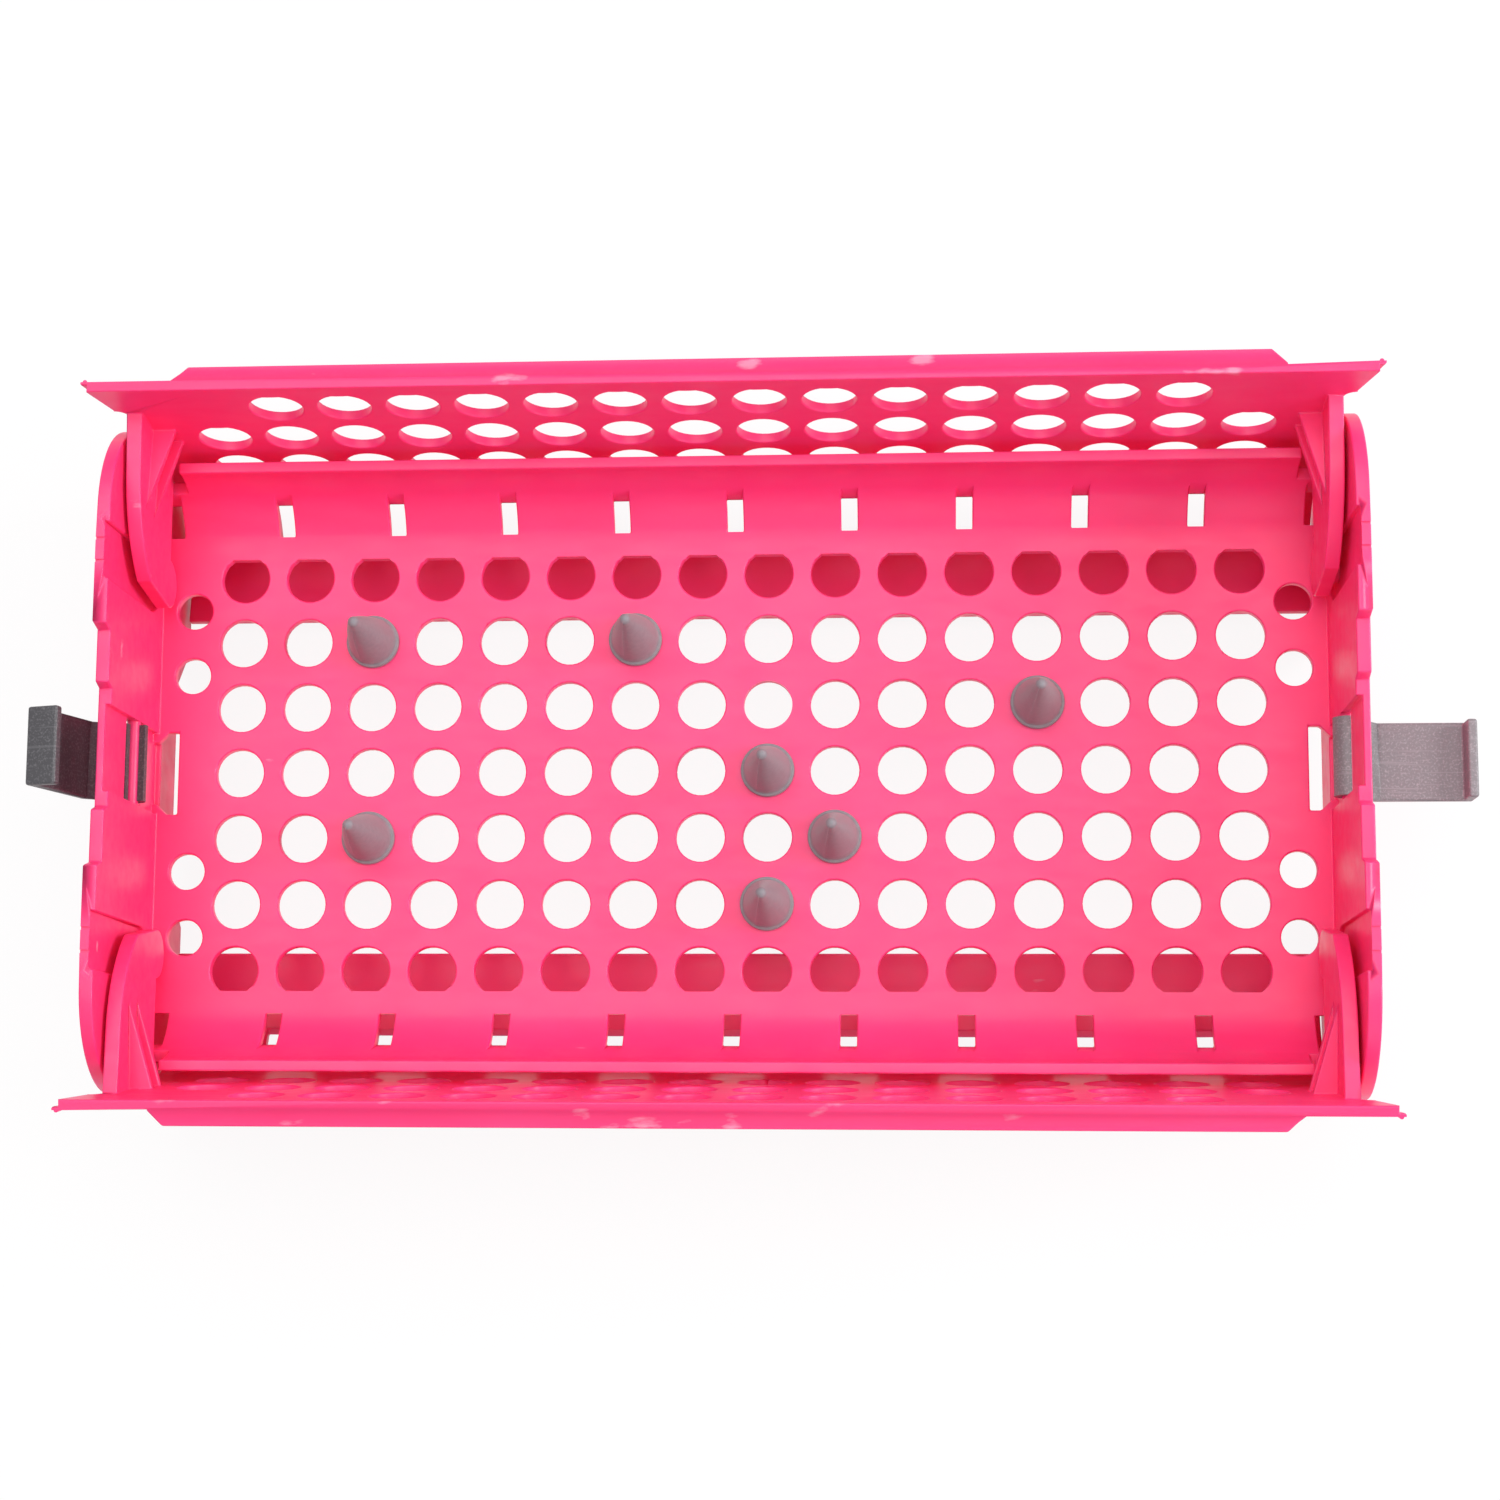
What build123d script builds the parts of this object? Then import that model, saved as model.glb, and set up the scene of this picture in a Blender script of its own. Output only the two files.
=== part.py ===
from build123d import *
from math import atan2, cos, degrees, pi, radians, sin, sqrt, tan
import os

# A perforated instrument tray with two swing covers, moulded in plastic, shown with its covers open.
# The long side lies along X, the covers open to +Y (rear) and -Y (front), and Z is up.
# The origin is the middle of the tray on the surface that its feet stand on.
# Heights named _h, and the flat outlines, are measured from the floor's top surface.

# Hole pattern, shared by the floor and the covers. A hole is drawn with a few flats inside its circle,
# because there are some two hundred. The spare hole, for one more peg, is a true circle.
pitch = 11.0
columns = 16
floor_rows = 5
hole_r = 4.0
hole_flats = 10
end_hole_r = 3.0
end_hole_x = 91.0
end_hole_spreads = [3, 5]

# Tray: floor and rounded sides
tray_wall = 1.8
flat_half_y = 36.3
corner_r = 11.9
rim_h = 11.7
rim_half_x = 91.3
slot_pitch = 18.87
slots = 11
slot_w = 2.7
slot_from_y = 40.0
slot_to_y = 46.6
slot_top_h = 6.7
slot_exit_y = 44.3

# End plates, which are also the feet
end_inner_x = 96.5
end_wall = 2.2
floor_z = 17.6
end_half_y = 53.9
end_top_h = 30.8
top_corner_r = 16.5
shoulder_y = 18.4
shoulder_h = 28.3
saddle_half_y = 9.4
saddle_h = 26.4
step_slant = 0.7
foot_corner_r = 13.0
arch_half_y = 24.0
arch_depth = 7.0

# Hinge of a cover
pivot_y = 30.8
pivot_h = 6.6
pin_r = 1.8
pin_fit = 0.06
pin_end_gap = 0.2
lead_in_w = 9.0
lead_in_depth = 0.8
tick_w = 0.5
tick_depth = 0.3
tick_spread = 3.6

# Covers
cover_skin = 1.65
cover_inner_r = 20.4
cover_corner_r = 14.0
cover_side_drop = 1.1
cover_open_tilt = 8.4
cover_edge_gap = 0.2
cover_end_gap = 0.6
cover_rows = 3
cover_hole_r = 4.3
edge_inset = 7.5
edge_columns = 14
rib_rise = 2.35
rib_w = 1.6
rib_half_x = 86.5
window_angle = 40.0
window_len = 8.4
window_w = 8.6

# Arms of a cover
arm_wall = 2.4
arm_boss_r = 4.0
arm_root_inset = 8.0
arm_lean = 2.0
arm_straight = 9.7
arm_nose_inset = 20.2
arm_nose_reach = 3.7
notch_gap = 1.1
gusset_wall = 1.1
gusset_leg = 3.7
gusset_depth = 14.0
gusset_insets = [15.0, 19.5]

# Ears of a cover
ear_reach = 5.3
ear_w = 7.4
ear_slant = 2.6
ear_lip = 0.9
ear_lip_t = 0.6
ear_neck_r = 2.0
ear_bead_r = 0.35
ear_bead_len = 2.0

# Latches and the bars they turn on
latch_w = 12.5
latch_side_gap = 0.65
latch_plate_t = 1.8
latch_foot_t = 1.6
latch_ear_gap = 1.0
bar_r = 1.1
bar_h = 10.5
clip_fit = 0.06
clip_wall = 1.14
clip_mouth = 80.0
clip_mouth_turn = 45.0
hook_t = 1.6
hook_gap = 0.6
hook_len = 3.6
latch_window_half_h = 4.2
pocket_depth = 1.0
cutout_x = 93.0
cutout_chamfer = 1.7
right_latch_swing = 90.0
left_latch_swing = 16.0

# Pegs, each in a hole given as columns and rows from the middle, and the spare hole for one more
peg_seats = [(-5.5, 2), (-1.5, 2), (4.5, 1), (0.5, 0), (-5.5, -1), (1.5, -1), (0.5, -2)]
spare_seat = (0.5, 1)
peg_flange_over = 0.4
peg_flange_t = 0.9
peg_ledge = 0.5
peg_height = 16.8
peg_tip_r = 0.7
peg_stem_gap = 0.05
peg_bead_over = 0.35
peg_bead_len = 2.0

# Sizes that follow from the ones above
cover_half_x = end_inner_x - cover_end_gap
cover_outer_r = cover_inner_r + cover_skin
cover_reach = pivot_y - cover_edge_gap
arm_inner_x = cover_half_x - arm_wall
pin_hole_r = pin_r + pin_fit
notch_h = pivot_h - notch_gap
bar_x = end_inner_x + end_wall / 2
latch_window_half_y = latch_w / 2 + latch_side_gap
ear_tip_x = cover_half_x + ear_reach
plate_offset = ear_tip_x + latch_ear_gap - bar_x
hook_under = pivot_h + cover_outer_r + hook_gap - bar_h
clip_inner_r = bar_r + clip_fit
clip_outer_r = clip_inner_r + clip_wall
tilt_sin = sin(radians(cover_open_tilt))
tilt_cos = cos(radians(cover_open_tilt))
tilt_tan = tan(radians(cover_open_tilt))

os.makedirs("parts", exist_ok=True)


def across(x):
    """Plane across the tray at x, with Y to its right and Z up."""
    return Plane(origin=(x, 0, floor_z), x_dir=(0, 1, 0), z_dir=(1, 0, 0))


def hinge_plane(side, x):
    """Plane across a cover at its hinge: x runs to the free edge, y runs out through the skin."""
    return Plane(
        origin=(x, side * pivot_y, floor_z + pivot_h),
        x_dir=(0, side * tilt_sin, tilt_cos),
        z_dir=(-side, 0, 0),
    )


def skin_plane(side, height):
    """Plane of a cover's flat, at a height from the hinge line, with y running to the free edge."""
    return Plane(
        origin=(0, side * (pivot_y + tilt_cos * height), floor_z + pivot_h - tilt_sin * height),
        x_dir=(-side, 0, 0),
        z_dir=(0, side * tilt_cos, -tilt_sin),
    )


def edge_plane(side, reach):
    """Plane square to a cover's skin, at a reach from the hinge line, with y out through the skin."""
    return Plane(
        origin=(0, side * (pivot_y + tilt_sin * reach), floor_z + pivot_h + tilt_cos * reach),
        x_dir=(-side, 0, 0),
        z_dir=(0, -side * tilt_sin, -tilt_cos),
    )


def plain_hole(radius):
    """A hole's outline, with its corners on the circle."""
    return RegularPolygon(radius, hole_flats)


floor_plane = Plane.XY.offset(floor_z)
spare_spot = (spare_seat[0] * pitch, spare_seat[1] * pitch)


# Tray: floor, rounded sides and end plates in one moulding
with BuildPart() as tray:
    # floor and sides, drawn across the tray
    with BuildSketch(across(-end_inner_x)):
        outer_r = corner_r + tray_wall
        inner_end = (flat_half_y + sqrt(corner_r**2 - (corner_r - rim_h) ** 2), rim_h)
        outer_end = (flat_half_y + sqrt(outer_r**2 - (corner_r - rim_h) ** 2), rim_h)
        with BuildLine():
            Line((0, 0), (flat_half_y, 0))
            RadiusArc((flat_half_y, 0), inner_end, -corner_r)
            Line(inner_end, outer_end)
            RadiusArc(outer_end, (flat_half_y, -tray_wall), outer_r)
            Line((flat_half_y, -tray_wall), (0, -tray_wall))
            mirror(about=Plane.YZ)
        make_face()
    extrude(amount=2 * end_inner_x)
    # room for the cover's arms beyond the ends of the rim
    notch_w = end_inner_x - rim_half_x
    with BuildSketch(floor_plane.offset(notch_h)):
        with GridLocations(end_inner_x + rim_half_x, 2 * (flat_half_y + corner_r), 2, 2):
            Rectangle(notch_w, 2 * corner_r)
    extrude(amount=corner_r, mode=Mode.SUBTRACT)
    # end plates: feet with an arch between, rounded shoulders and a stepped saddle
    for x, way in ((end_inner_x, 1), (-end_inner_x, -1)):
        with BuildSketch(across(x)):
            foot_y = end_half_y - foot_corner_r
            top_mid = (end_half_y - top_corner_r, end_top_h - top_corner_r)
            with BuildLine():
                Line((0, arch_depth - floor_z), (arch_half_y - arch_depth, arch_depth - floor_z))
                Line(
                    (arch_half_y - arch_depth, arch_depth - floor_z), (arch_half_y, -floor_z)
                )
                Line((arch_half_y, -floor_z), (foot_y, -floor_z))
                RadiusArc((foot_y, -floor_z), (end_half_y, foot_corner_r - floor_z), -foot_corner_r)
                Line((end_half_y, foot_corner_r - floor_z), (end_half_y, top_mid[1]))
                RadiusArc((end_half_y, top_mid[1]), (top_mid[0], end_top_h), -top_corner_r)
                Polyline(
                    (top_mid[0], end_top_h),
                    (shoulder_y + step_slant, end_top_h),
                    (shoulder_y, shoulder_h),
                    (saddle_half_y + step_slant, shoulder_h),
                    (saddle_half_y, saddle_h),
                    (0, saddle_h),
                )
                mirror(about=Plane.YZ)
            make_face()
        extrude(amount=way * end_wall)
        # cut-out in the floor under the latch, with its outer corners cut off
        with BuildSketch(floor_plane):
            with BuildLine():
                Polyline(
                    (way * cutout_x, -latch_window_half_y),
                    (way * (end_inner_x - cutout_chamfer), -latch_window_half_y),
                    (way * end_inner_x, cutout_chamfer - latch_window_half_y),
                    (way * end_inner_x, latch_window_half_y - cutout_chamfer),
                    (way * (end_inner_x - cutout_chamfer), latch_window_half_y),
                    (way * cutout_x, latch_window_half_y),
                    close=True,
                )
            make_face()
        extrude(amount=-tray_wall, mode=Mode.SUBTRACT)
        # window for the latch and bores for the cover's pins
        with BuildSketch(across(x)):
            with Locations((0, bar_h)):
                Rectangle(2 * latch_window_half_y, 2 * latch_window_half_h)
            with Locations((pivot_y, pivot_h), (-pivot_y, pivot_h)):
                Circle(pin_hole_r)
        extrude(amount=way * end_wall, mode=Mode.SUBTRACT)
        # pocket above and below the window, then lead-ins from the top edge down to the bores
        with BuildSketch(across(x)):
            with Locations((0, saddle_h)):
                Rectangle(2 * latch_window_half_y, saddle_h, align=(Align.CENTER, Align.MAX))
            cutout_end_w = 2 * (latch_window_half_y - cutout_chamfer)
            Rectangle(cutout_end_w, tray_wall, align=(Align.CENTER, Align.MAX))
        extrude(amount=way * pocket_depth, mode=Mode.SUBTRACT)
        with BuildSketch(across(x)):
            with Locations((pivot_y, pivot_h), (-pivot_y, pivot_h)):
                Circle(lead_in_w / 2)
                Rectangle(lead_in_w, end_top_h, align=(Align.CENTER, Align.MIN))
        extrude(amount=way * lead_in_depth, mode=Mode.SUBTRACT)
        # two ticks in the top edge over each bore
        with BuildSketch(across(x)):
            for tick_y in (pivot_y - tick_spread / 2, pivot_y + tick_spread / 2):
                with Locations((tick_y, end_top_h), (-tick_y, end_top_h)):
                    Rectangle(tick_w, 2 * tick_depth)
        extrude(amount=way * end_wall, mode=Mode.SUBTRACT)
        # bar across the window
        bar_middle = (x + way * end_wall / 2, 0, floor_z + bar_h)
        with BuildSketch(Plane(origin=bar_middle, z_dir=(0, 1, 0))):
            Circle(bar_r)
        extrude(amount=latch_window_half_y, both=True)
    # holes of the floor, with the spare one a true circle
    grid = [tuple(spot.position)[:2] for spot in GridLocations(pitch, pitch, columns, floor_rows)]
    with BuildSketch(floor_plane):
        with Locations(*[spot for spot in grid if spot != spare_spot]):
            plain_hole(hole_r)
        with Locations(spare_spot):
            Circle(hole_r)
        for spread in end_hole_spreads:
            with GridLocations(2 * end_hole_x, spread * pitch, 2, 2):
                plain_hole(end_hole_r)
    extrude(amount=-tray_wall, mode=Mode.SUBTRACT)
    # outer rows, which stop where the floor starts to curve up
    with BuildSketch(floor_plane):
        with GridLocations(pitch, (floor_rows + 1) * pitch, columns, 2):
            plain_hole(hole_r)
        Rectangle(2 * end_inner_x, 2 * flat_half_y, mode=Mode.INTERSECT)
    extrude(amount=-tray_wall, mode=Mode.SUBTRACT)
    # drain slots straight down through the rounded sides, with a slanted outer end
    slot_xs = [spot.position.X for spot in GridLocations(slot_pitch, 0, slots, 1)]
    with BuildSketch(*[across(slot_x - slot_w / 2) for slot_x in slot_xs]):
        with BuildLine():
            Polyline(
                (slot_from_y, -tray_wall),
                (slot_exit_y, -tray_wall),
                (slot_to_y, slot_top_h),
                (slot_from_y, slot_top_h),
                close=True,
            )
        make_face()
        mirror(about=Plane.YZ)
    extrude(amount=slot_w, mode=Mode.SUBTRACT)
tray.part.label = "tray"
export_step(tray.part, "parts/tray.step")


def make_cover(side):
    """A cover: its two ends are made first, as one and its mirror image, then the skin joins them."""
    with BuildPart() as cover:
        # arm, from the skin down past the hinge
        root = (cover_reach - arm_root_inset, cover_inner_r + cover_skin / 2)
        knee = (root[0] - arm_lean, cover_inner_r - arm_straight)
        nose = (cover_reach - arm_nose_inset, -arm_nose_reach)
        with BuildSketch(hinge_plane(side, cover_half_x)):
            with BuildLine():
                Line(root, knee)
                TangentArc(knee, nose, tangent=(knee[0] - root[0], knee[1] - root[1]))
                Polyline(
                    nose,
                    (0, -arm_boss_r),
                    (0, 0),
                    (root[1] * tilt_tan, root[1]),
                    root,
                )
            make_face()
            Circle(arm_boss_r)
        extrude(amount=side * arm_wall)
        # hinge pin
        with BuildSketch(hinge_plane(side, cover_half_x)):
            Circle(pin_r)
        extrude(amount=-side * (cover_end_gap + end_wall - pin_end_gap))
        # gussets between the arm and the skin
        for inset in gusset_insets:
            with BuildSketch(edge_plane(side, cover_reach - inset)):
                with BuildLine():
                    Polyline(
                        (-side * arm_inner_x, cover_inner_r),
                        (-side * (arm_inner_x - gusset_leg), cover_inner_r),
                        (-side * arm_inner_x, cover_inner_r - gusset_depth),
                        close=True,
                    )
                make_face()
            extrude(amount=gusset_wall / 2, both=True)
        # ear: an inner layer, and an outer lip that stands past it
        for low, thick, lip in (
            (cover_inner_r, cover_skin - ear_lip_t, 0.0),
            (cover_outer_r - ear_lip_t, ear_lip_t, ear_lip),
        ):
            with BuildSketch(skin_plane(side, low)):
                tip = ear_tip_x - ear_lip + lip
                ear_low = cover_reach - ear_w - lip
                with BuildLine():
                    Polyline(
                        (-side * (cover_half_x + ear_neck_r), ear_low),
                        (-side * (tip - ear_slant), ear_low),
                        (-side * tip, cover_reach),
                        (-side * arm_inner_x, cover_reach),
                        (-side * arm_inner_x, ear_low - ear_neck_r),
                        (-side * cover_half_x, ear_low - ear_neck_r),
                    )
                    RadiusArc(
                        (-side * cover_half_x, ear_low - ear_neck_r),
                        (-side * (cover_half_x + ear_neck_r), ear_low),
                        -side * ear_neck_r,
                    )
                make_face()
            extrude(amount=thick)
        # bead near the ear's tip, for the latch's hook to snap past
        with BuildSketch(edge_plane(side, cover_reach)):
            with Locations((-side * (ear_tip_x - 2 * ear_bead_r), cover_outer_r)):
                Circle(ear_bead_r)
        extrude(amount=ear_bead_len)
        mirror(about=Plane.YZ)
        # skin: flat, corner and side, drawn across the tray
        with BuildSketch(hinge_plane(side, 0)):
            inner_c = cover_inner_r - cover_corner_r
            outer_corner = cover_corner_r + cover_skin
            with BuildLine():
                Line((cover_reach, cover_inner_r), (-inner_c, cover_inner_r))
                RadiusArc((-inner_c, cover_inner_r), (-cover_inner_r, inner_c), -cover_corner_r)
                Polyline(
                    (-cover_inner_r, inner_c),
                    (-cover_inner_r, cover_side_drop),
                    (-cover_outer_r, cover_side_drop),
                    (-cover_outer_r, inner_c),
                )
                RadiusArc((-cover_outer_r, inner_c), (-inner_c, cover_outer_r), outer_corner)
                Polyline(
                    (-inner_c, cover_outer_r),
                    (cover_reach, cover_outer_r),
                    (cover_reach, cover_inner_r),
                )
            make_face()
        extrude(amount=cover_half_x, both=True)
        # rib along the free edge, standing out of the skin
        with BuildSketch(edge_plane(side, cover_reach)):
            with BuildLine():
                Polyline(
                    (-rib_half_x, cover_outer_r),
                    (rib_half_x, cover_outer_r),
                    (rib_half_x - rib_rise, cover_outer_r + rib_rise),
                    (rib_rise - rib_half_x, cover_outer_r + rib_rise),
                    close=True,
                )
            make_face()
        extrude(amount=rib_w)
        # rows of holes
        with BuildSketch(skin_plane(side, cover_inner_r)):
            with Locations((0, cover_reach - edge_inset)):
                with GridLocations(pitch, 0, edge_columns, 1):
                    plain_hole(cover_hole_r)
            for row in range(1, cover_rows):
                with Locations((0, cover_reach - edge_inset - row * pitch)):
                    with GridLocations(pitch, 0, columns, 1):
                        plain_hole(cover_hole_r)
        extrude(amount=cover_skin, mode=Mode.SUBTRACT)
        # windows through the corner, which lie under the tray's slots while the cover is open
        corner_middle = hinge_plane(side, 0).from_local_coords((-inner_c, inner_c, 0))
        window_out = (0, side * sin(radians(window_angle)), -cos(radians(window_angle)))
        with BuildSketch(Plane(origin=corner_middle, x_dir=(1, 0, 0), z_dir=window_out)):
            with GridLocations(slot_pitch, 0, slots - 2, 1):
                Rectangle(window_w, window_len)
        extrude(amount=2 * cover_corner_r, mode=Mode.SUBTRACT)
    return cover


for side, name in ((1, "rear_cover"), (-1, "front_cover")):
    cover = make_cover(side)
    cover.part.label = name
    export_step(cover.part, f"parts/{name}.step")


def make_latch(way, swing):
    """A latch, turned out from its closed place: clip, slanted foot, plate and hook."""
    lean = radians(swing)
    profile_plane = Plane(
        origin=(way * bar_x, 0, floor_z + bar_h),
        x_dir=(way * sin(lean), 0, cos(lean)),
        z_dir=(0, -way, 0),
    )
    plate_out = plate_offset + latch_plate_t
    foot_lap = latch_foot_t / sqrt(2)
    clip_mid_r = (clip_inner_r + clip_outer_r) / 2
    foot_start = clip_mid_r / sqrt(2)
    with BuildPart() as latch:
        with BuildSketch(profile_plane):
            # curl that snaps on the bar, open towards the tray and up when the latch is closed
            Circle(clip_outer_r)
            Circle(clip_inner_r, mode=Mode.SUBTRACT)
            with BuildLine():
                mouth = 2 * clip_outer_r
                half = radians(clip_mouth / 2)
                turn = radians(clip_mouth_turn)
                Polyline(
                    (0, 0),
                    (mouth * cos(turn - half), mouth * sin(turn - half)),
                    (mouth * cos(turn + half), mouth * sin(turn + half)),
                    close=True,
                )
            make_face(mode=Mode.SUBTRACT)
            # slanted foot through the window
            with BuildLine():
                Polyline(
                    (foot_start + foot_lap / 2, foot_lap / 2 - foot_start),
                    (plate_offset + foot_lap, -plate_offset),
                    (plate_offset + foot_lap, -plate_out),
                    (plate_out - foot_lap, -plate_out),
                    (foot_start - foot_lap / 2, -foot_start - foot_lap / 2),
                    close=True,
                )
            make_face()
            # plate and hook
            with BuildLine():
                Polyline(
                    (plate_out - foot_lap, -plate_out),
                    (hook_under + hook_t, -plate_out),
                    (hook_under + hook_t, hook_len - plate_offset),
                    (hook_under, hook_len - plate_offset),
                    (hook_under, -plate_offset),
                    (plate_offset + foot_lap, -plate_offset),
                    close=True,
                )
            make_face()
        extrude(amount=latch_w / 2, both=True)
    return latch


for way, swing, name in ((1, right_latch_swing, "right_latch"), (-1, left_latch_swing, "left_latch")):
    latch = make_latch(way, swing)
    latch.part.label = name
    export_step(latch.part, f"parts/{name}.step")


def make_peg(x, y):
    """A soft cone with a flange on the floor, a stem in its hole and a bead under the floor."""
    stem_r = hole_r - peg_stem_gap
    flange_r = hole_r + peg_flange_over
    cone_r = flange_r - peg_ledge
    cone_len = peg_height - peg_flange_t
    cone_taper = degrees(atan2((cone_r - peg_tip_r) * cos(pi / hole_flats), cone_len))
    with BuildPart() as peg:
        # bead, which narrows downwards
        with Locations((x, y, floor_z - tray_wall)):
            Cone(
                bottom_radius=stem_r - peg_bead_over,
                top_radius=hole_r + peg_bead_over,
                height=peg_bead_len,
                align=(Align.CENTER, Align.CENTER, Align.MAX),
            )
        # stem and flange
        with BuildSketch(Plane((x, y, floor_z - tray_wall))):
            RegularPolygon(stem_r, hole_flats)
        extrude(amount=tray_wall)
        with BuildSketch(Plane((x, y, floor_z))):
            RegularPolygon(flange_r, hole_flats)
        extrude(amount=peg_flange_t)
        # cone, whose flats lean in
        with BuildSketch(Plane((x, y, floor_z + peg_flange_t))):
            RegularPolygon(cone_r, hole_flats)
        extrude(amount=cone_len, taper=cone_taper)
    return peg


for number, (column, row) in enumerate(peg_seats, start=1):
    peg = make_peg(column * pitch, row * pitch)
    peg.part.label = f"peg_{number}"
    export_step(peg.part, f"parts/peg_{number}.step")
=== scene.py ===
# %% [markdown]
# A perforated instrument tray with two swing covers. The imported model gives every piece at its
# size. This lesson adds what a mould and a soft light give it: round holes, softened edges, and
# plastics that look moulded.

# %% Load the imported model
from math import atan2, cos, hypot, pi, radians, sin, sqrt

import bmesh
import bpy
from mathutils import Matrix, Vector
from mathutils.kdtree import KDTree


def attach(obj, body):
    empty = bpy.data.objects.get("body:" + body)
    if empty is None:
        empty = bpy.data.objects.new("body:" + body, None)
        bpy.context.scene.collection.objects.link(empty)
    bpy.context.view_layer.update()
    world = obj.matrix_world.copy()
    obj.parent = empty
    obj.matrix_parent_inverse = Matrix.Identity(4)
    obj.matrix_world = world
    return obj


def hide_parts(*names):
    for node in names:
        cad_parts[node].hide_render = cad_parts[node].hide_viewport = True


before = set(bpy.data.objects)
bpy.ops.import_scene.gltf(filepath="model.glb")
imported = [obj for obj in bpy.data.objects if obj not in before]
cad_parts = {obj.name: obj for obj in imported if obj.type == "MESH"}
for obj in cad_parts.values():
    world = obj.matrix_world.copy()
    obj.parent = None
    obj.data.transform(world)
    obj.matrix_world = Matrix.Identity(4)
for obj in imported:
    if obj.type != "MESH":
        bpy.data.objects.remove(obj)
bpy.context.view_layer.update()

mm = 0.001
print("nodes", sorted(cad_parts))

# %% [markdown]
# The camera stands where the photograph was taken: nearly overhead, a little in front of the
# tray. Its place and its turn about X, Y and Z, in radians, were solved from the grid of holes.
# The lens's axis doesn't meet the picture in its middle, as in a cropped photograph, and a small
# lens shift stands for that.

# %% Camera
image_px = 1500
focal_px = 2698.0
axis_px = (714.7, 839.2)
floor_top_mm = 17.6
camera_mm = (31.7, -70.1, 436.0 + floor_top_mm)
camera_turn = (-0.134, -0.079, 0.003)

lens_data = bpy.data.cameras.new("photo_lens")
lens_data.sensor_width = 36.0
lens_data.lens = focal_px / image_px * lens_data.sensor_width
lens_data.shift_x = (image_px / 2 - axis_px[0]) / image_px
lens_data.shift_y = (axis_px[1] - image_px / 2) / image_px
lens_data.clip_start = 0.01
camera = bpy.data.objects.new("photo_camera", lens_data)
bpy.context.scene.collection.objects.link(camera)
turn = (
    Matrix.Rotation(camera_turn[2], 3, "Z")
    @ Matrix.Rotation(camera_turn[1], 3, "Y")
    @ Matrix.Rotation(camera_turn[0], 3, "X")
)
camera.matrix_world = Matrix.Translation(Vector(camera_mm) * mm) @ turn.transposed().to_4x4()
bpy.context.scene.camera = camera
bpy.context.scene.view_settings.view_transform = "Standard"
print("lens", round(lens_data.lens, 2), "mm")

# %% [markdown]
# A colour is written as the hex value that a screen shows, and the shader wants it linear. One
# small function does that, and one adds a node with its settings and links, so that a material
# reads as a list of its nodes. The pink, the nylon and the silicone end alike, in a fine relief
# under one shader, and share a function for that. Patterns are sized in millimetres, while a
# noise wants its scale per metre of the object.

# %% Helpers for materials


def srgb(code):
    """Linear colour, with alpha, of an sRGB hex value."""
    parts = [int(code[i:i + 2], 16) / 255 for i in (0, 2, 4)]
    return [c / 12.92 if c <= 0.04045 else ((c + 0.055) / 1.055) ** 2.4 for c in parts] + [1.0]


def node(tree, kind, settings=None, inputs=None):
    """Adds a node. A tuple of (node, output) in inputs is a link, and anything else a value."""
    made = tree.nodes.new(kind)
    for key, value in (settings or {}).items():
        setattr(made, key, value)
    for key, value in (inputs or {}).items():
        if isinstance(value, tuple) and isinstance(value[0], bpy.types.Node):
            tree.links.new(value[0].outputs[value[1]], made.inputs[key])
        else:
            made.inputs[key].default_value = value
    return made


def new_material(name):
    """An empty node material and its tree."""
    material = bpy.data.materials.new(name)
    material.use_nodes = True
    material.node_tree.nodes.clear()
    return material, material.node_tree


def per_metre(size_mm):
    """Noise scale at which the features are about size_mm across."""
    return 1.0 / (size_mm * mm)


def plastic_skin(tree, tint, rough, bumps, strength, depth_mm, more):
    """The shader of a moulded surface with a fine relief, joined to the material's output."""
    relief = node(tree, "ShaderNodeBump", None,
                  {"Height": (bumps, "Fac"), "Strength": strength, "Distance": depth_mm * mm})
    skin = node(tree, "ShaderNodeBsdfPrincipled", None,
                {"Base Color": (tint, "Result"), "Roughness": (rough, "Result"),
                 "Normal": (relief, "Normal"), **more})
    node(tree, "ShaderNodeOutputMaterial", None, {"Surface": (skin, "BSDF")})


# %% [markdown]
# The tray and covers are injection-moulded in a bright pink plastic, polypropylene or a like
# one. It is opaque but lets a little light in, so thin edges and shaded corners glow. A
# spark-eroded mould leaves a fine grain, which is drawn coarser here so that it shows, and where
# the plastic flowed there are faint broad clouds. Handling leaves short pale scuffs, most of all
# on the covers' free edges, which stand highest.

# %% Moulded pink plastic
pink_base = "FF3276"
pink_cloud = "FF4082"
scuff_tint = "FFC3D8"
grain_mm = 0.45
cloud_mm = 24.0
scuff_mm = 2.4
scuff_stretch = (0.35, 1.0, 1.0)
patch_mm = 9.0
rub_heights = (48.5 * mm, 51.5 * mm)
rub_extra = 0.08
scuff_edge = (0.45, 0.53)
scuff_strength = 0.45
noise_span = (0.3, 0.7)
pink_rough = (0.32, 0.46)


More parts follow.
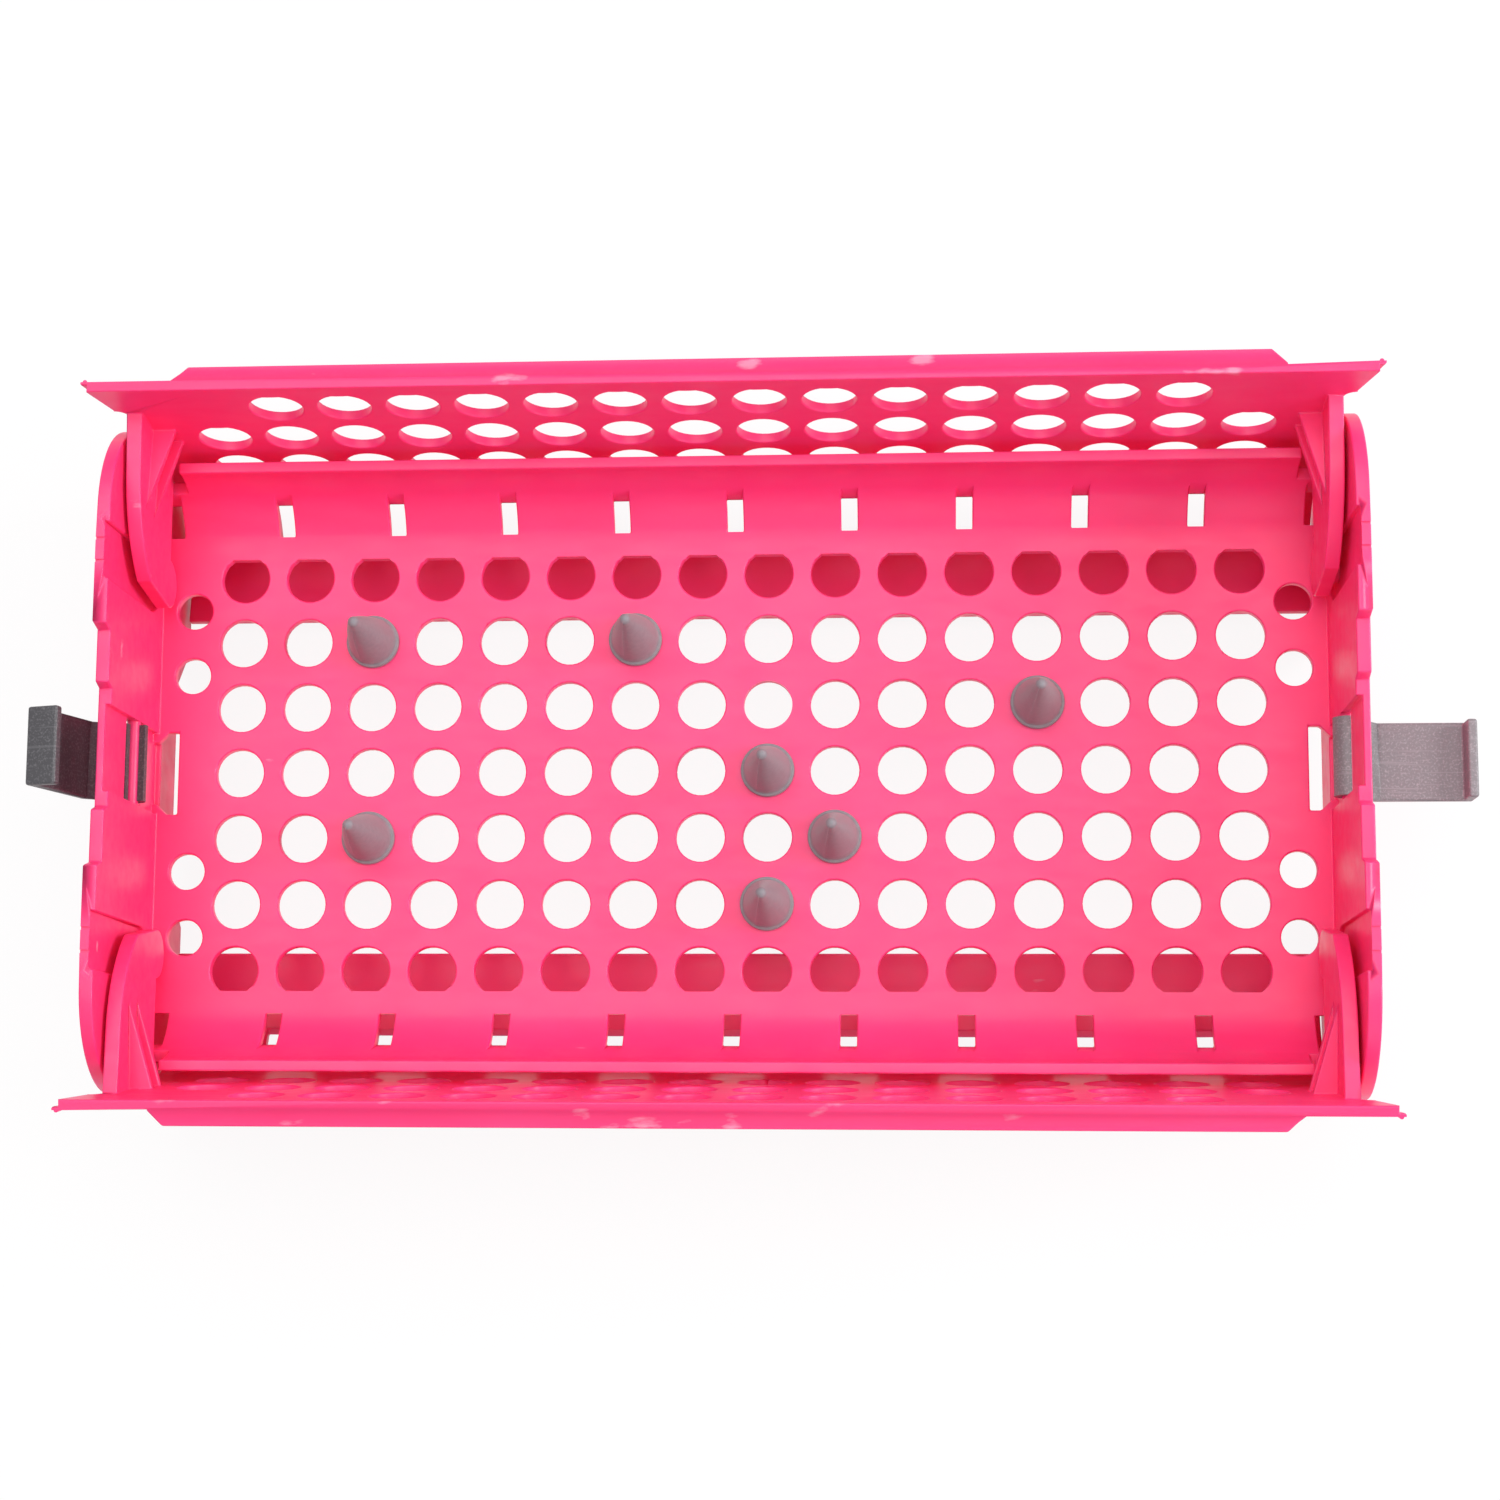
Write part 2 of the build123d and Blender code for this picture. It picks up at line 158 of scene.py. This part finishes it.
def moulded_pink():
    material, tree = new_material("moulded_pink_polymer")
    place = node(tree, "ShaderNodeTexCoord")
    clouds = node(tree, "ShaderNodeTexNoise", None,
                  {"Vector": (place, "Object"), "Scale": per_metre(cloud_mm), "Detail": 3.0})
    tint = node(tree, "ShaderNodeMix", {"data_type": "RGBA"},
                {"Factor": (clouds, "Fac"), "A": srgb(pink_base), "B": srgb(pink_cloud)})
    # scuffs lie where a stretched noise and broad patches meet, and more of them near the top
    along = node(tree, "ShaderNodeMapping", None,
                 {"Vector": (place, "Object"), "Scale": scuff_stretch})
    scuffs = node(tree, "ShaderNodeTexNoise", None,
                  {"Vector": (along, "Vector"), "Scale": per_metre(scuff_mm), "Detail": 6.0})
    patches = node(tree, "ShaderNodeTexNoise", None,
                   {"Vector": (place, "Object"), "Scale": per_metre(patch_mm), "Detail": 2.0})
    wear = node(tree, "ShaderNodeMath", {"operation": "MULTIPLY"},
                {0: (scuffs, "Fac"), 1: (patches, "Fac")})
    height = node(tree, "ShaderNodeSeparateXYZ", None, {"Vector": (place, "Object")})
    top = node(tree, "ShaderNodeMapRange", None,
               {"Value": (height, "Z"), "From Min": rub_heights[0], "From Max": rub_heights[1],
                "To Min": 0.0, "To Max": rub_extra})
    worn = node(tree, "ShaderNodeMath", {"operation": "ADD"},
                {0: (wear, "Value"), 1: (top, "Result")})
    mask = node(tree, "ShaderNodeMapRange", None,
                {"Value": (worn, "Value"), "From Min": scuff_edge[0], "From Max": scuff_edge[1],
                 "To Min": 0.0, "To Max": scuff_strength})
    scuffed = node(tree, "ShaderNodeMix", {"data_type": "RGBA"},
                   {"Factor": (mask, "Result"), "A": (tint, "Result"), "B": srgb(scuff_tint)})
    # most of a noise's values lie in noise_span
    rough = node(tree, "ShaderNodeMapRange", None,
                 {"Value": (scuffs, "Fac"), "From Min": noise_span[0], "From Max": noise_span[1],
                  "To Min": pink_rough[0], "To Max": pink_rough[1]})
    grain = node(tree, "ShaderNodeTexNoise", None,
                 {"Vector": (place, "Object"), "Scale": per_metre(grain_mm), "Detail": 2.0})
    plastic_skin(tree, scuffed, rough, grain, strength=0.15, depth_mm=0.02,
                 more={"IOR": 1.49, "Subsurface Weight": 0.3,
                       "Subsurface Radius": (1.0, 0.3, 0.45), "Subsurface Scale": 3.0 * mm})
    return material


pink = moulded_pink()
print("finish", pink.name)

# %% [markdown]
# The latches look like a stiff grey nylon with glass in it, which shows as fine pale specks,
# and snapping has drawn fine scratches along them. Both are drawn coarser than they are, so that
# they show. The left latch is darker than the right one.

# %% Filled grey nylon
speck_mm = 0.35
speck_edge = (0.50, 0.72)
scratch_mm = 0.5
scratch_stretch = (0.04, 1.0, 0.04)
scratch_edge = (0.60, 0.68)
scratch_strength = 0.5
nylon_rough = (0.34, 0.56)


def filled_nylon(name, code, speck_code):
    material, tree = new_material(name)
    place = node(tree, "ShaderNodeTexCoord")
    specks = node(tree, "ShaderNodeTexNoise", None,
                  {"Vector": (place, "Object"), "Scale": per_metre(speck_mm), "Detail": 4.0})
    mask = node(tree, "ShaderNodeMapRange", None,
                {"Value": (specks, "Fac"), "From Min": speck_edge[0], "From Max": speck_edge[1]})
    # scratches are a noise drawn out along the latch
    along = node(tree, "ShaderNodeMapping", None,
                 {"Vector": (place, "Object"), "Scale": scratch_stretch})
    scratches = node(tree, "ShaderNodeTexNoise", None,
                     {"Vector": (along, "Vector"), "Scale": per_metre(scratch_mm), "Detail": 3.0})
    line = node(tree, "ShaderNodeMapRange", None,
                {"Value": (scratches, "Fac"), "From Min": scratch_edge[0],
                 "From Max": scratch_edge[1], "To Min": 0.0, "To Max": scratch_strength})
    marks = node(tree, "ShaderNodeMath", {"operation": "MAXIMUM"},
                 {0: (mask, "Result"), 1: (line, "Result")})
    tint = node(tree, "ShaderNodeMix", {"data_type": "RGBA"},
                {"Factor": (marks, "Value"), "A": srgb(code), "B": srgb(speck_code)})
    rough = node(tree, "ShaderNodeMapRange", None,
                 {"Value": (scratches, "Fac"),
                  "To Min": nylon_rough[0], "To Max": nylon_rough[1]})
    plastic_skin(tree, tint, rough, specks, strength=0.25, depth_mm=0.03, more={"IOR": 1.53})
    return material


latch_finishes = {
    "left_latch": filled_nylon("filled_nylon_dark_grey", "4E4C50", "706E72"),
    "right_latch": filled_nylon("filled_nylon_mid_grey", "7E797D", "9C979B"),
}
print("finishes", [finish.name for finish in latch_finishes.values()])

# %% [markdown]
# The pegs look like soft silicone. Silicone is matt, and dust gives it an uneven sheen, which is
# drawn coarser than dust is.

# %% Grey silicone
silicone_dark = "7A767C"
silicone_pale = "989298"
dust_mm = 0.8
silicone_rough = (0.42, 0.72)


def peg_silicone():
    material, tree = new_material("soft_grey_silicone")
    place = node(tree, "ShaderNodeTexCoord")
    dust = node(tree, "ShaderNodeTexNoise", None,
                {"Vector": (place, "Object"), "Scale": per_metre(dust_mm), "Detail": 6.0})
    tint = node(tree, "ShaderNodeMix", {"data_type": "RGBA"},
                {"Factor": (dust, "Fac"), "A": srgb(silicone_dark), "B": srgb(silicone_pale)})
    rough = node(tree, "ShaderNodeMapRange", None,
                 {"Value": (dust, "Fac"),
                  "To Min": silicone_rough[0], "To Max": silicone_rough[1]})
    plastic_skin(tree, tint, rough, dust, strength=0.2, depth_mm=0.03,
                 more={"IOR": 1.41, "Sheen Weight": 0.15, "Subsurface Weight": 0.1,
                       "Subsurface Radius": (1.0, 0.8, 0.8), "Subsurface Scale": 0.6 * mm})
    return material


silicone = peg_silicone()
print("finish", silicone.name)

# %% [markdown]
# The tray, covers and latches keep the shape that was packed. Each is copied and its loose
# triangles are merged, so that they share their corners. Later they are joined into whole
# faces, which a bevel likes.

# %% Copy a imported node
touch = 0.001 * mm
weld_gap = 0.002 * mm
slack = 0.02 * mm
fine_angle = radians(1.0)


def merged_copy(name):
    """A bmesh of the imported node, with its triangles merged."""
    bm = bmesh.new()
    bm.from_mesh(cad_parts[name].data)
    bmesh.ops.remove_doubles(bm, verts=bm.verts, dist=weld_gap)
    return bm


def join_faces(bm, lines=()):
    """Joins triangles that lie in one plane, but not across these places in X."""
    edges = [
        edge for edge in bm.edges
        if not any(all(abs(vert.co.x - line) < slack for vert in edge.verts) for line in lines)
    ]
    bmesh.ops.dissolve_limit(bm, angle_limit=fine_angle, verts=[], edges=edges)


def as_piece(name, bm, body, replaced, finish):
    """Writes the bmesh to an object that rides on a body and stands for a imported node."""
    mesh = bpy.data.meshes.new(name)
    bm.to_mesh(mesh)
    bm.free()
    mesh.materials.append(finish)
    piece = bpy.data.objects.new(name, mesh)
    bpy.context.scene.collection.objects.link(piece)
    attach(piece, body)
    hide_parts(replaced)
    return piece


# %% [markdown]
# The holes are round on the real tray, and were packed with ten flats to keep the model light.
# Here each hole's wall is taken out, its two rims are cut finer and their corners moved out to
# the circle, and the rims are bridged again. The holes are looked at in a frame of their own,
# whose Z runs along them. A corner counts as a rim's when it lies between rim_inner and rim_outer
# radii from a centre: the middle of a flat is at 0.951 radii.

# %% Round the holes
rim_cuts = 2
rim_inner = 0.94
rim_outer = 1.004
rim_margin = 0.1 * mm
wall_lean = 0.1


def rim_spots(bm, to_hole, centres, radius, span):
    """Each vertex on a rim, with its hole's number and centre, and its place in their frame."""
    tree = KDTree(len(centres))
    for number, centre in enumerate(centres):
        tree.insert((*centre, 0.0), number)
    tree.balance()
    found = {}
    for vert in bm.verts:
        spot = to_hole @ vert.co
        centre, number, reach = tree.find((spot.x, spot.y, 0.0))
        at_rim = rim_inner * radius < reach < rim_outer * radius
        if at_rim and span[0] < spot.z < span[1]:
            found[vert] = (number, centre, spot)
    return found


def rim_edges(bm, found):
    """The level edges that join two corners of one hole, by the hole's number."""
    rims = {}
    for edge in bm.edges:
        ends = [found.get(vert) for vert in edge.verts]
        if None in ends or ends[0][0] != ends[1][0]:
            continue
        if abs(ends[0][2].z - ends[1][2].z) < slack:
            rims.setdefault(ends[0][0], []).append(edge)
    return rims


def round_holes(bm, to_hole, centres, radius, span, straight_y=None):
    """Rounds the holes at these centres. A side that runs straight at straight_y keeps its line."""

    def on_straight(spot):
        return straight_y is not None and abs(abs(spot.y) - straight_y) < slack

    holes = (bm, to_hole, centres, radius, span)
    from_hole = to_hole.inverted()
    axis = from_hole.to_3x3() @ Vector((0, 0, 1))
    found = rim_spots(*holes)
    walls = [
        face for face in bm.faces
        if all(vert in found for vert in face.verts) and abs(face.normal.dot(axis)) < wall_lean
    ]
    bmesh.ops.delete(bm, geom=walls, context="FACES")
    curved = [
        edge for rim in rim_edges(bm, found).values() for edge in rim
        if not all(on_straight(found[vert][2]) for vert in edge.verts)
    ]
    bmesh.ops.bisect_edges(bm, edges=curved, cuts=rim_cuts)
    found = rim_spots(*holes)
    for vert, (_, centre, spot) in found.items():
        away = Vector((spot.x - centre.x, spot.y - centre.y))
        if on_straight(spot):
            half = sqrt(radius**2 - away.y**2)
            spot.x = centre.x + (half if away.x > 0 else -half)
        else:
            away = away.normalized() * radius
            spot.x, spot.y = centre.x + away.x, centre.y + away.y
        vert.co = from_hole @ spot
    rims = rim_edges(bm, found)
    for rim in rims.values():
        bmesh.ops.bridge_loops(bm, edges=rim)
    return len(rims)


def grid(columns, rows, pitch_x, pitch_y):
    """Centres of a grid about the middle."""
    return [
        ((column - (columns - 1) / 2) * pitch_x, (row - (rows - 1) / 2) * pitch_y)
        for column in range(columns)
        for row in range(rows)
    ]


# %% [markdown]
# No moulded edge is knife-sharp: the mould leaves a small radius, which catches the light as a
# pale line. A Bevel modifier gives it to the edges that are long enough, by weight, so that
# tiny ones don't hold the others back. Weighted normals then keep the broad flats even beside
# the bevels.

# %% Soften the edges
edge_radius = 0.28 * mm
latch_radius = 0.4 * mm
room_in_radii = 1.6
sharp_angle = radians(28.0)


def weigh_edges(bm, radius):
    """Marks the sharp edges whose ends have room for the radius, and leaves the others sharp."""
    weight = bm.edges.layers.float.new("bevel_weight_edge")
    room = {
        vert: min(edge.calc_length() for edge in vert.link_edges)
        for vert in bm.verts if vert.link_edges
    }
    marked = 0
    for edge in bm.edges:
        if len(edge.link_faces) != 2 or edge.calc_face_angle(0.0) < sharp_angle:
            continue
        if min(room[vert] for vert in edge.verts) > room_in_radii * radius:
            edge[weight] = 1.0
            marked += 1
        else:
            edge.smooth = False
    for face in bm.faces:
        face.smooth = True
    return marked


def moulding(name, bm, body, finish, radius):
    """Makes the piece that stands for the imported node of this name, with softened edges."""
    print(name, "soft edges", weigh_edges(bm, radius), "faces", len(bm.faces))
    piece = as_piece(f"{name}_moulding", bm, body, name, finish)
    bevel = piece.modifiers.new("mould_radius", "BEVEL")
    bevel.width = radius
    bevel.segments = 2
    bevel.limit_method = "WEIGHT"
    bevel.use_clamp_overlap = False
    evened = piece.modifiers.new("even_flats", "WEIGHTED_NORMAL")
    evened.mode = "FACE_AREA"
    evened.keep_sharp = True


# %% [markdown]
# The tray has five rows of round holes, an outer row each side whose holes stop in a straight
# line where the floor starts to curve up, and small holes at the ends.

# %% Tray
pitch = 11.0 * mm
columns = 16
floor_rows = 7
hole_r = 4.0 * mm
flat_half_y = 36.3 * mm
end_hole_r = 3.0 * mm
end_hole_x = 91.0 * mm
end_hole_pitches = (3, 5)
tray_wall = 1.8 * mm

over_floor = Matrix.Translation((0, 0, -floor_top_mm * mm))
floor_span = (-tray_wall - rim_margin, rim_margin)
floor_holes = grid(columns, floor_rows, pitch, pitch)
end_holes = [
    centre for pitches in end_hole_pitches
    for centre in grid(2, 2, 2 * end_hole_x, pitches * pitch)
]
bm = merged_copy("tray")
cut = round_holes(bm, over_floor, floor_holes, hole_r, floor_span, flat_half_y)
cut += round_holes(bm, over_floor, end_holes, end_hole_r, floor_span)
print("tray holes", cut)
bmesh.ops.recalc_face_normals(bm, faces=bm.faces)
join_faces(bm)
moulding("tray", bm, "tub", pink, edge_radius)

# %% [markdown]
# Each cover stands open on its hinge and leans out a little. Its holes run square to its skin,
# so they are rounded in the cover's own directions. Its two flats are then filled anew, because
# their old triangles would fold where a rim moved over them. They are also cut along a line
# through each column of holes, so that each face is a plain strip between two columns. The
# tray's flats come out clean without that.

# %% Covers
hinge_y = 30.8 * mm
hinge_z = 24.2 * mm
open_tilt = radians(8.4)
skin_levels = (20.4 * mm, 22.05 * mm)
cover_hole_r = 4.3 * mm
edge_row_columns = 14
edge_row_reach = 23.1 * mm


def fill_flats(bm, to_hole, lines, levels):
    """Fills the flats at these levels along the holes, and cuts them along these lines in X."""

    def at_level(part, level):
        return all(abs((to_hole @ vert.co).z - level) < slack for vert in part.verts)

    axis = to_hole.inverted().to_3x3() @ Vector((0, 0, 1))
    for level in levels:
        old = [face for face in bm.faces if at_level(face, level)]
        bmesh.ops.delete(bm, geom=old, context="FACES")
        rims = [
            edge for edge in bm.edges
            if len(edge.link_faces) == 1 and at_level(edge, level)
        ]
        bmesh.ops.triangle_fill(bm, use_beauty=True, use_dissolve=False, edges=rims, normal=axis)
        for line in lines:
            flat = [face for face in bm.faces if at_level(face, level)]
            edges = {edge for face in flat for edge in face.edges}
            verts = {vert for face in flat for vert in face.verts}
            bmesh.ops.bisect_plane(bm, geom=[*flat, *edges, *verts], dist=touch,
                                   plane_co=(line, 0, 0), plane_no=(1, 0, 0))
    bmesh.ops.recalc_face_normals(bm, faces=bm.faces)
    join_faces(bm, lines)


hole_lines = [x for x, _ in grid(columns, 1, pitch, 0)]
skin_span = (skin_levels[0] - rim_margin, skin_levels[1] + rim_margin)
cover_rows = [
    (edge_row_columns, edge_row_reach),
    (columns, edge_row_reach - pitch),
    (columns, edge_row_reach - 2 * pitch),
]
cover_holes = [(x, reach) for count, reach in cover_rows for x, _ in grid(count, 1, pitch, 0)]
for name, side in (("rear_cover", 1), ("front_cover", -1)):
    cover_place = Matrix.Identity(4)
    cover_place.col[1] = (0, side * sin(open_tilt), cos(open_tilt), 0)
    cover_place.col[2] = (0, side * cos(open_tilt), -sin(open_tilt), 0)
    cover_place.col[3] = (0, side * hinge_y, hinge_z, 1)
    to_cover = cover_place.inverted()
    bm = merged_copy(name)
    print(name, "holes", round_holes(bm, to_cover, cover_holes, cover_hole_r, skin_span))
    fill_flats(bm, to_cover, hole_lines, skin_levels)
    moulding(name, bm, name, pink, edge_radius)

# %% [markdown]
# The latches are bent strips with a clip at one end and a hook at the other. Their edges are
# rounder than the tray's, which makes the hook's lip look like a roll.

# %% Latches
for name, finish in latch_finishes.items():
    bm = merged_copy(name)
    join_faces(bm)
    moulding(name, bm, name, finish, latch_radius)

# %% [markdown]
# The pegs are soft cones, round like turned work. A profile is spun about the peg's axis. It has
# a bead that was pushed through the floor, a stem, a flange with a rounded rim, and a cone that
# swells a little before its blunt tip. Where the halves of a mould meet there is a thin seam,
# and the one on the side that the camera sees is drawn out of the cone.

# %% Pegs
stem_r = 3.95 * mm
bead_r = 4.35 * mm
bead_low_r = 3.6 * mm
bead_len = 2.0 * mm
flange_r = 4.4 * mm
flange_t = 0.9 * mm
rim_round = 0.25 * mm
chamfer_share = 0.3
cone_r = 3.9 * mm
cone_swell = 0.22 * mm
cone_points = 8
tip_r = 0.95 * mm
tip_points = 5
peg_h = 16.8 * mm
seam_rise = 0.13 * mm
seam_turn = radians(-115.0)
turn_steps = 72
crease_angle = radians(50.0)
peg_seats = [(-5.5, 2), (-1.5, 2), (4.5, 1), (0.5, 0), (-5.5, -1), (1.5, -1), (0.5, -2)]


def peg_profile():
    """Radius and height, from the middle of the peg's underside to the middle of its tip."""
    line = [
        (0.0, -tray_wall - bead_len),
        (bead_low_r - rim_round, -tray_wall - bead_len),
        (bead_low_r, -tray_wall - bead_len + rim_round),
        (bead_r, -tray_wall - rim_round),
        (bead_r - rim_round / 2, -tray_wall),
        (stem_r, -tray_wall),
        (stem_r, 0.0),
        (flange_r - rim_round / 2, 0.0),
        (flange_r, rim_round / 2),
        (flange_r, flange_t - rim_round),
        (flange_r - chamfer_share * rim_round, flange_t - chamfer_share * rim_round),
        (flange_r - rim_round, flange_t),
        (cone_r + rim_round / 2, flange_t),
        (cone_r, flange_t + rim_round / 2),
    ]
    ball_z = peg_h - tip_r
    for step in range(1, cone_points):
        share = step / cone_points
        radius = cone_r + (tip_r - cone_r) * share + cone_swell * sin(pi * share)
        line.append((radius, flange_t + (ball_z - flange_t) * share))
    for step in range(tip_points):
        angle = pi / 2 * step / tip_points
        line.append((tip_r * cos(angle), ball_z + tip_r * sin(angle)))
    line.append((0.0, peg_h))
    return line


def spun_peg(number, column, row):
    """One peg in its hole, which is given in pitches from the middle of the floor."""
    bm = bmesh.new()
    ring = [bm.verts.new((radius, 0.0, height)) for radius, height in peg_profile()]
    edges = [bm.edges.new(pair) for pair in zip(ring, ring[1:])]
    bmesh.ops.spin(bm, geom=ring + edges, cent=(0, 0, 0), axis=(0, 0, 1), angle=2 * pi,
                   steps=turn_steps, use_merge=True)
    bmesh.ops.remove_doubles(bm, verts=bm.verts, dist=touch)
    bmesh.ops.rotate(bm, verts=bm.verts, matrix=Matrix.Rotation(seam_turn, 3, "Z"))
    half_step = pi / turn_steps
    for vert in bm.verts:
        radius = hypot(vert.co.x, vert.co.y)
        off = abs(atan2(vert.co.y, vert.co.x) - seam_turn)
        if off < half_step and vert.co.z > flange_t and radius > tip_r / 2:
            vert.co.xy *= (radius + seam_rise) / radius
    bmesh.ops.translate(bm, verts=bm.verts, vec=(column * pitch, row * pitch, floor_top_mm * mm))
    bmesh.ops.recalc_face_normals(bm, faces=bm.faces)
    for face in bm.faces:
        face.smooth = True
    for edge in bm.edges:
        if edge.calc_face_angle(0.0) > crease_angle:
            edge.smooth = False
    as_piece(f"peg_{number}_silicone", bm, "tub", f"peg_{number}", silicone)


for number, (column, row) in enumerate(peg_seats, start=1):
    spun_peg(number, column, row)
print("pegs", len(peg_seats))

# %% [markdown]
# The floor is white paper. The camera and the plastics' gloss see mostly an even white of its
# own, and a share of real light is kept in it, so that the tray's soft shadow still shows.

# %% Floor
floor_reach = 3.0
paper_glow = 0.90


def white_paper():
    material, tree = new_material("white_paper")
    path = node(tree, "ShaderNodeLightPath")
    seen = node(tree, "ShaderNodeMath", {"operation": "MAXIMUM"},
                {0: (path, "Is Camera Ray"), 1: (path, "Is Glossy Ray")})
    share = node(tree, "ShaderNodeMath", {"operation": "MULTIPLY"},
                 {0: (seen, "Value"), 1: paper_glow})
    matt = node(tree, "ShaderNodeBsdfDiffuse", None, {"Color": srgb("F7F7F7")})
    glow = node(tree, "ShaderNodeEmission", None, {"Color": srgb("FFFFFF"), "Strength": 1.0})
    blend = node(tree, "ShaderNodeMixShader", None,
                 {"Fac": (share, "Value"), 1: (matt, "BSDF"), 2: (glow, "Emission")})
    node(tree, "ShaderNodeOutputMaterial", None, {"Surface": (blend, "Shader")})
    return material


bm = bmesh.new()
bmesh.ops.create_grid(bm, x_segments=1, y_segments=1, size=floor_reach)
floor_mesh = bpy.data.meshes.new("floor")
bm.to_mesh(floor_mesh)
bm.free()
floor_mesh.materials.append(white_paper())
floor = bpy.data.objects.new("floor", floor_mesh)
bpy.context.scene.collection.objects.link(floor)
print("floor", 2 * floor_reach, "m across")

# %% [markdown]
# The light is a wide soft box overhead, a smaller one from the right that gives the pegs their
# bright side, a weak one from the front, and an even white world around them.

# %% Light
world_strength = 0.35

world = bpy.data.worlds.new("studio")
world.use_nodes = True
sky = world.node_tree.nodes["Background"]
sky.inputs["Color"].default_value = srgb("FFFFFF")
sky.inputs["Strength"].default_value = world_strength
bpy.context.scene.world = world


def soft_box(name, place, size, power):
    """A square area light that faces the tray, with its place and size in metres."""
    data = bpy.data.lights.new(name, "AREA")
    data.size = size
    data.energy = power
    lamp = bpy.data.objects.new(name, data)
    lamp.location = place
    lamp.rotation_euler = (-Vector(place)).to_track_quat("-Z", "Y").to_euler()
    bpy.context.scene.collection.objects.link(lamp)
    print(name, power, "W")


soft_box("overhead_box", (-0.10, 0.25, 0.95), size=1.0, power=7.5)
soft_box("right_box", (0.80, 0.05, 0.45), size=0.4, power=5.5)
soft_box("front_box", (0.10, -0.70, 0.60), size=0.6, power=1.0)
